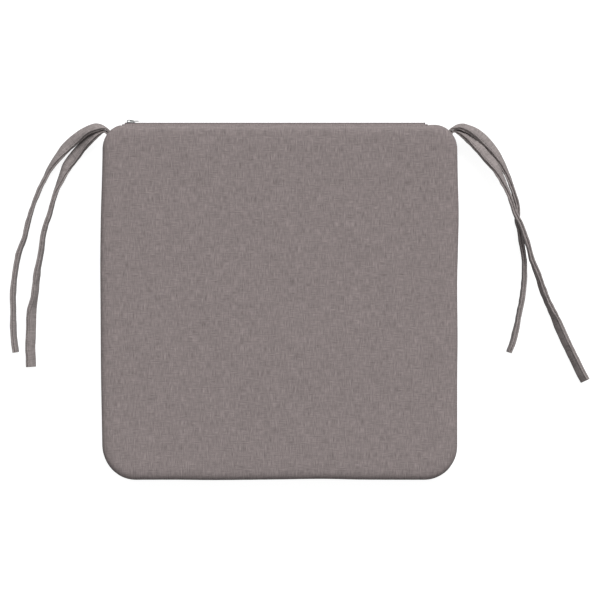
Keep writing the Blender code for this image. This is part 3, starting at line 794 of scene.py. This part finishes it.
def wander(points, normals):
    """How far the cloth's outline stands out from the rounded rectangle."""
    total = np.zeros(len(points))
    for line, facing, along in ((FRONT_LINE, -normals[:, 1], points[:, 0] / HALF_WIDTH),
                                (RIGHT_LINE, normals[:, 0], points[:, 1] / HALF_DEPTH),
                                (BACK_LINE, normals[:, 1], points[:, 0] / HALF_WIDTH),
                                (LEFT_LINE, -normals[:, 0], points[:, 1] / HALF_DEPTH)):
        place, stand = smooth_route([(u, out * MM) for u, out in line], WANDER_STEP).T
        total += np.clip(facing, 0, 1) ** 2 * np.interp(along, place, stand)
    return total


def outline(side, t):
    """Points and outward normals on one side, t from 0 to 1 between the middles of its corners."""
    angle, (centre0, radius0), (centre1, radius1) = side_frames()[side]
    normal = np.array([math.cos(angle), math.sin(angle)])
    tangent = np.array([-math.sin(angle), math.cos(angle)])
    start = np.array(centre0) + radius0 * normal
    end = np.array(centre1) + radius1 * normal
    straight = float(np.dot(end - start, tangent))
    arc0, arc1 = radius0 * math.pi / 4, radius1 * math.pi / 4
    run = t * (arc0 + straight + arc1)
    turn = np.where(run < arc0, (run - arc0) / radius0,
                    np.where(run > arc0 + straight, (run - arc0 - straight) / radius1, 0.0))
    normals = np.column_stack([np.cos(angle + turn), np.sin(angle + turn)])
    on_line = start + np.clip(run - arc0, 0, straight)[:, None] * tangent
    points = np.where((run > arc0 + straight)[:, None], np.array(centre1) + radius1 * normals,
                      on_line)
    points = np.where((run < arc0)[:, None], np.array(centre0) + radius0 * normals, points)
    return points + normals * wander(points, normals)[:, None], normals


def perimeter():
    """The whole outline, anticlockwise from the front left corner, GRID points a side."""
    t = np.arange(GRID) / GRID
    sides = [outline(side, t) for side in range(4)]
    return np.vstack([p for p, _ in sides]), np.vstack([n for _, n in sides])


def face_grid():
    """Flat grid inside the rim at FACE_INSET: its rim follows the outline, its middle is square."""
    line = np.linspace(-1, 1, GRID + 1)
    u, v = np.meshgrid(line, line)
    u, v = u.ravel(), v.ravel()
    ring = np.maximum(np.abs(u), np.abs(v))
    safe = np.where(ring > 0, ring, 1)
    rim_u, rim_v = u / safe, v / safe
    half = np.array([HALF_WIDTH - FACE_INSET, HALF_DEPTH - FACE_INSET])
    square = np.column_stack([u, v]) * half
    shift = np.zeros_like(square)
    sides = [(rim_v <= -1 + 1e-9, (rim_u + 1) / 2), (rim_u >= 1 - 1e-9, (rim_v + 1) / 2),
             (rim_v >= 1 - 1e-9, (1 - rim_u) / 2), (rim_u <= -1 + 1e-9, (1 - rim_v) / 2)]
    for side, (chosen, t) in enumerate(sides):
        points, normals = outline(side, t[chosen])
        rim = points - FACE_INSET * normals
        shift[chosen] = rim - np.column_stack([rim_u, rim_v])[chosen] * half
    return square + shift * (ring ** GRID_EASE)[:, None]


def rim_indices():
    """Grid indices of the rim, in the order of perimeter()."""
    size = GRID + 1
    front = list(range(GRID))
    right = [i * size + GRID for i in range(GRID)]
    back = [GRID * size + GRID - i for i in range(GRID)]
    left = [(GRID - i) * size for i in range(GRID)]
    return front + right + back + left


def grid_faces(first=0):
    """Faces of a face grid whose vertices start at number first."""
    size = GRID + 1
    corners = [first + row * size + column for row in range(GRID) for column in range(GRID)]
    return [(a, a + 1, a + size + 1, a + size) for a in corners]


def ring_faces(inner, outer):
    """Faces between two closed rings of vertex numbers."""
    count = len(inner)
    return [(inner[i], outer[i], outer[(i + 1) % count], inner[(i + 1) % count])
            for i in range(count)]


def zip_span(x):
    """1 along the zip, 0 past its ends."""
    return (smoothstep(x, TAPE_LEFT - ZIP_RAMP_OUT, TAPE_LEFT + ZIP_RAMP_IN)
            * (1 - smoothstep(x, TAPE_RIGHT - ZIP_RAMP_IN, TAPE_RIGHT + ZIP_RAMP_OUT)))


def zip_weight(points, normals):
    """1 along the zip opening, 0 on the sewn seam."""
    return zip_span(points[:, 0]) * (normals[:, 1] > FACES_BACK)


def sewn_profile(crease=SEAM_CREASE):
    """The taut cloth from the face to the sewn seam: distance in, and height above the seam."""
    run = np.linspace(FACE_INSET, 0, PROFILE_STEPS)
    over = np.clip(1 - run / SHOULDER, 0, 1) ** SHOULDER_POWER
    height = HALF_THICK * (1 - over) ** (1 / WALL_POWER)
    wall = np.linspace(height[-2], 0, WALL_STEPS)[1:]
    inset = SHOULDER * (1 - (1 - (wall / HALF_THICK) ** WALL_POWER) ** (1 / SHOULDER_POWER))
    run = np.concatenate([run[:-1], inset])
    height = np.concatenate([height[:-1], wall])
    return np.column_stack([run + crease * np.exp(-height / SEAM_CREASE_REACH), height])


def ring_stations():
    """Fractions along the wall's profile, finer towards the seam."""
    return 1 - np.linspace(1, 0, WALL_RINGS + 1) ** EDGE_FINENESS


def wall_profiles():
    """The sewn and the zipped wall, each at the same stations."""
    return [resample(profile, ring_stations())
            for profile in (sewn_profile(), np.array(ZIP_PROFILE) * MM)]


def pucker(points, normals):
    """Gathers that run up from the seam, strongest round the corners."""
    corner = np.abs(normals[:, 0] * normals[:, 1]) * 2
    return (PUCKER * soft_noise(running(points), PUCKER_SEED, PUCKER_WAVES)
            * (PUCKER_ON_SIDES + PUCKER_MORE_AT_CORNERS * corner))


def wall_rings(points, normals):
    """Rings from below the face's rim to the seam or lip, then turned in: (distance in, height)."""
    weight = zip_weight(points, normals)
    gathers = pucker(points, normals)
    sewn, zipped = wall_profiles()
    rings = []
    for (sewn_in, sewn_up), (zip_in, zip_up) in zip(sewn[1:], zipped[1:]):
        fade = math.exp(-(sewn_up / PUCKER_REACH) ** 2)
        distance = sewn_in + (zip_in - sewn_in) * weight + gathers * fade * (1 - weight)
        rings.append((distance, sewn_up + (zip_up - sewn_up) * weight))
    last_in, last_up = rings[-1]
    for (seam_in, seam_up), (lip_in, lip_up) in TURNED_IN:
        rings.append((last_in + (seam_in + (lip_in - seam_in) * weight) * MM,
                      last_up + (seam_up + (lip_up - seam_up) * weight) * MM))
    return rings


def face_lift(face, upward):
    """Height of the face above the seam: flat below, a little crowned and uneven above."""
    x, y = face.T
    inside = np.minimum(HALF_WIDTH - np.abs(x), HALF_DEPTH - np.abs(y))
    lift = np.full(len(face), HALF_THICK)
    near_zip = smoothstep(y, HALF_DEPTH - 2 * FACE_INSET, HALF_DEPTH - FACE_INSET)
    lift -= ZIP_RIM_DROP * near_zip * zip_span(x)
    if upward:
        lift += (CROWN * np.cos(x / HALF_WIDTH * math.pi / 2)
                 * np.cos(y / HALF_DEPTH * math.pi / 2))
        relief = smoothstep(inside, FACE_INSET, 2.5 * FACE_INSET)
        lift += FACE_RELIEF * soft_waves(x, y, FACE_SEED, FACE_WAVES) * relief
    return lift


def skin(top, rings, points, normals):
    """A face grid's vertices, rings of (distance in, height above the seam) from its rim down, the
    faces between them, and the last ring's vertex numbers."""
    vertices, faces, inner = [top], grid_faces(), rim_indices()
    for ring_in, ring_up in rings:
        height = MID + ring_up * np.ones(len(points))
        first = len(top) + (len(vertices) - 1) * len(points)
        vertices.append(np.column_stack([points - ring_in[:, None] * normals, height]))
        outer = list(range(first, first + len(points)))
        faces += ring_faces(inner, outer)
        inner = outer
    return vertices, faces, inner


def panel_mesh(name, upward):
    """One cloth panel as a surface: its face grid, the wall rings and the turned-in edge."""
    sign = 1 if upward else -1
    face = face_grid()
    points, normals = perimeter()
    top = np.column_stack([face, MID + sign * face_lift(face, upward)])
    rings = [(ring_in, sign * ring_up) for ring_in, ring_up in wall_rings(points, normals)]
    vertices, faces, _ = skin(top, rings, points, normals)
    if not upward:
        faces = [tuple(reversed(f)) for f in faces]
    mesh = bpy.data.meshes.new(name)
    mesh.from_pydata(np.vstack(vertices).tolist(), [], faces)
    rim = points - FACE_INSET * normals
    steps = np.diff([top[rim_indices()], *vertices[1:]], axis=0)
    down = np.cumsum(np.linalg.norm(steps, axis=2), axis=0)
    cloth = [face] + [rim + run[:, None] * normals for run in down]
    set_cloth_map(mesh, np.vstack(cloth) + (0 if upward else BOTTOM_SHIFT))
    return mesh


def build_cover():
    """The two panels, thickened inwards to cloth."""
    for name, node, upward in (("cover_top_cloth", "cover_top", True),
                               ("cover_bottom_cloth", "cover_bottom", False)):
        panel = add_piece(name, panel_mesh(name, upward), "cover_cloth")
        solidify = panel.modifiers.new("cloth", "SOLIDIFY")
        solidify.thickness = CLOTH
        solidify.offset = -1
        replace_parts(panel, node)


def build_foam():
    """The foam block that fills the cover, set back behind the zip."""
    face = face_grid()
    points, normals = perimeter()
    setback = FOAM_SLACK + FOAM_SETBACK * np.minimum(
        FOAM_SETBACK_ONSET * zip_weight(points, normals), 1)
    top = HALF_THICK - FOAM_SLACK
    rings = [(inset + setback * (1 - inset / FACE_INSET), height * top / HALF_THICK)
             for inset, height in resample(sewn_profile(crease=0), ring_stations())[1:]]
    rings += [(ring_in, -ring_up) for ring_in, ring_up in rings[-2::-1]]
    vertices, faces, last = skin(np.column_stack([face, np.full(len(face), MID + top)]),
                                 rings, points, normals)
    vertices.append(np.column_stack([face, np.full(len(face), MID - top)]))
    first = last[-1] + 1
    faces += grid_faces(first) + ring_faces(last, [first + i for i in rim_indices()])
    foam = add_piece("foam_block", mesh_of("foam_block", np.vstack(vertices), faces), "foam")
    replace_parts(foam, "foam_core")


# -------- zip
def build_coils():
    """Two nylon coils, each a flattened helix, with a slit between them for the slider's neck."""
    turns = round((CHAIN_RIGHT - CHAIN_LEFT - 2 * COIL_WIRE) / COIL_PITCH)
    phase = np.arange(turns * COIL_STEPS + 1) * math.tau / COIL_STEPS
    middle = (COIL_REACH[0] + COIL_REACH[1]) / 2
    swing = (COIL_REACH[1] - COIL_REACH[0]) / 2
    for name, side in (("coil_upper", 1), ("coil_lower", -1)):
        turn = phase + (0 if side > 0 else math.pi)
        x = CHAIN_LEFT + COIL_WIRE + phase / math.tau * COIL_PITCH
        depth = COIL_HALF_DEPTH * flattened(np.sin(turn), COIL_FLATNESS)
        centres = np.column_stack([x, CHAIN_Y + depth,
                                   MID + side * (middle - swing * np.cos(phase))])
        ahead = unit(np.gradient(centres, axis=0))
        outwards = unit(np.cross(ahead, [1.0, 0, 0]) + 1e-12)
        across = np.cross(outwards, ahead)
        rings = tube_rings(centres, outwards, across, COIL_WIRE, COIL_SIDES)
        mesh = mesh_of(name, rings, tube_faces(0, len(centres), COIL_SIDES))
        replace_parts(add_piece(name, mesh, "zip_coil"), "zip_" + name)


def build_tapes():
    """The two tapes: from behind the coils, under the hems and up behind the cloth."""
    route = smooth_route(np.array(TAPE_ROUTE) * MM, TAPE_STEP)
    ahead = unit(np.gradient(route, axis=0))
    normal = np.column_stack([ahead[:, 1], -ahead[:, 0]])
    swelling = smoothstep(route[:, 1], *TAPE_SWELLS)[:, None]
    half = (TAPE_PRESSED + (TAPE_THICKNESS - TAPE_PRESSED) * swelling) / 2
    section = np.vstack([route + half * normal, (route - half * normal)[::-1]])
    count = len(section)
    stations = np.append(np.arange(TAPE_LEFT, TAPE_RIGHT, TAPE_STATION), TAPE_RIGHT)
    for name, side in (("tape_upper", 1), ("tape_lower", -1)):
        rings = [np.column_stack([np.full(count, x), CHAIN_Y + section[:, 0],
                                  MID + side * section[:, 1]]) for x in stations]
        faces = tube_faces(0, len(stations), count)[:-2]
        for first in (0, (len(stations) - 1) * count):
            faces += [(first + i, first + i + 1, first + count - 2 - i, first + count - 1 - i)
                      for i in range(count // 2 - 1)]
        tape = add_piece(name, mesh_of(name, np.vstack(rings), faces), "zip_tape", sharp=50)
        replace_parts(tape, "zip_" + name)


def build_zip_stitching():
    """A row of stitches in the groove beside each lip, and a dense bar of them at each end."""
    x = np.arange(TAPE_LEFT, TAPE_RIGHT, TAPE_STATION)
    pairs = []
    for side in (1, -1):
        line = np.column_stack([x, np.full(len(x), HALF_DEPTH - STITCH_IN),
                                np.full(len(x), MID + side * STITCH_HEIGHT)])
        normals = np.tile(unit(np.array([0, GROOVE_BACK, side * GROOVE_UP])), (len(x), 1))
        pairs += stitch_row(line, normals, ZIP_STITCH)
    add_stitches("zip_topstitch", pairs)
    sewn, zipped = wall_profiles()
    pairs = []
    for middle in (TAPE_LEFT - BARTACK_OUT, TAPE_RIGHT + BARTACK_OUT):
        weight = float(zip_span(np.array([middle]))[0])
        profile = sewn + (zipped - sewn) * weight
        profile = profile[profile[:, 1] < BARTACK_TOP]
        heights, insets = profile[::-1, 1], profile[::-1, 0]
        for height in np.arange(-BARTACK_TOP, BARTACK_TOP, BARTACK_PITCH):
            y = HALF_DEPTH - np.interp(abs(height), heights, insets) + THREAD_RADIUS
            start = np.array([middle - BARTACK_HALF_WIDTH, y, MID + height])
            end = start + (2 * BARTACK_HALF_WIDTH, 0, BARTACK_PITCH / 2)
            pairs.append((start, end, unit(np.array([0, 1, BARTACK_SLOPE * height / BARTACK_TOP]))))
    add_stitches("zip_bartacks", pairs, BARTACK_THREAD)


def build_tacks():
    """At each end of the chain a bar of thread loops wound round both coils."""
    for name in ("zip_tack_left", "zip_tack_right"):
        low, high = (np.array(corner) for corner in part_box(name))
        radius = (high[0] - low[0]) / (2 * TACK_LOOPS)
        middle = (low + high) / 2
        half_y, half_z = (high - low)[1:] / 2 - radius
        turn = np.arange(TACK_STEPS) * math.tau / TACK_STEPS
        across, up = (flattened(wave, TACK_FLATNESS) for wave in (np.cos(turn), np.sin(turn)))
        vertices, faces = [], []
        for loop in range(TACK_LOOPS):
            x = low[0] + radius * (2 * loop + 1)
            centres = np.column_stack([x + TACK_LEAN * radius * np.sin(turn),
                                       middle[1] + half_y * across, middle[2] + half_z * up])
            outwards = unit(centres - (x, middle[1], middle[2]))
            rings = tube_rings(centres, outwards, np.array([[1.0, 0, 0]]), radius, THREAD_SIDES)
            first = len(vertices)
            vertices += list(rings)
            rows = [list(range(start, start + THREAD_SIDES))
                    for start in range(first, len(vertices), THREAD_SIDES)]
            for row, following in zip(rows, rows[1:] + rows[:1]):
                faces += ring_faces(row, following)
        mesh = mesh_of(name + "_thread", vertices, faces)
        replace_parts(add_piece(name + "_thread", mesh, "thread"), name)


def reshape_casting(bm):
    """A thinner outer plate, and a thicker wire in the crown over it."""
    for vertex in bm.verts:
        proud = vertex.co.y - CHAIN_Y
        if proud > CROWN_FOOT:
            vertex.co += vertex.normal * CROWN_THICKER
        elif proud > PLATE_INSIDE:
            vertex.co.y -= PLATE_THINNER


def refined(name, node, body, reshape=None):
    """A CAD piece's copy with its edges rounded off."""
    mesh = bpy.data.objects[node].data.copy()
    mesh.name = name
    bm = bmesh.new()
    bm.from_mesh(mesh)
    bmesh.ops.remove_doubles(bm, verts=bm.verts, dist=MERGED_WITHIN)
    bmesh.ops.dissolve_limit(bm, angle_limit=FLAT_WITHIN, verts=bm.verts, edges=bm.edges)
    bmesh.ops.recalc_face_normals(bm, faces=bm.faces)
    if reshape:
        bm.normal_update()
        reshape(bm)
    bm.to_mesh(mesh)
    bm.free()
    piece = add_piece(name, mesh, SLOT_OF[node], body)
    bevel = piece.modifiers.new("edges", "BEVEL")
    bevel.width = METAL_ROUNDING
    bevel.segments = 3
    bevel.limit_method = "ANGLE"
    bevel.angle_limit = ROUNDED_FROM
    bevel.harden_normals = True
    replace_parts(piece, node)


def build_metal():
    """The slider and its pull, made from the CAD model's meshes."""
    refined("slider_casting", "zip_slider", "slider", reshape_casting)
    refined("pull_tab", "zip_pull", "pull")


def main():
    build_camera()
    build_ties()
    build_light()
    build_stage()
    build_cover()
    build_foam()
    build_coils()
    build_tapes()
    build_tacks()
    build_zip_stitching()
    build_metal()


main()
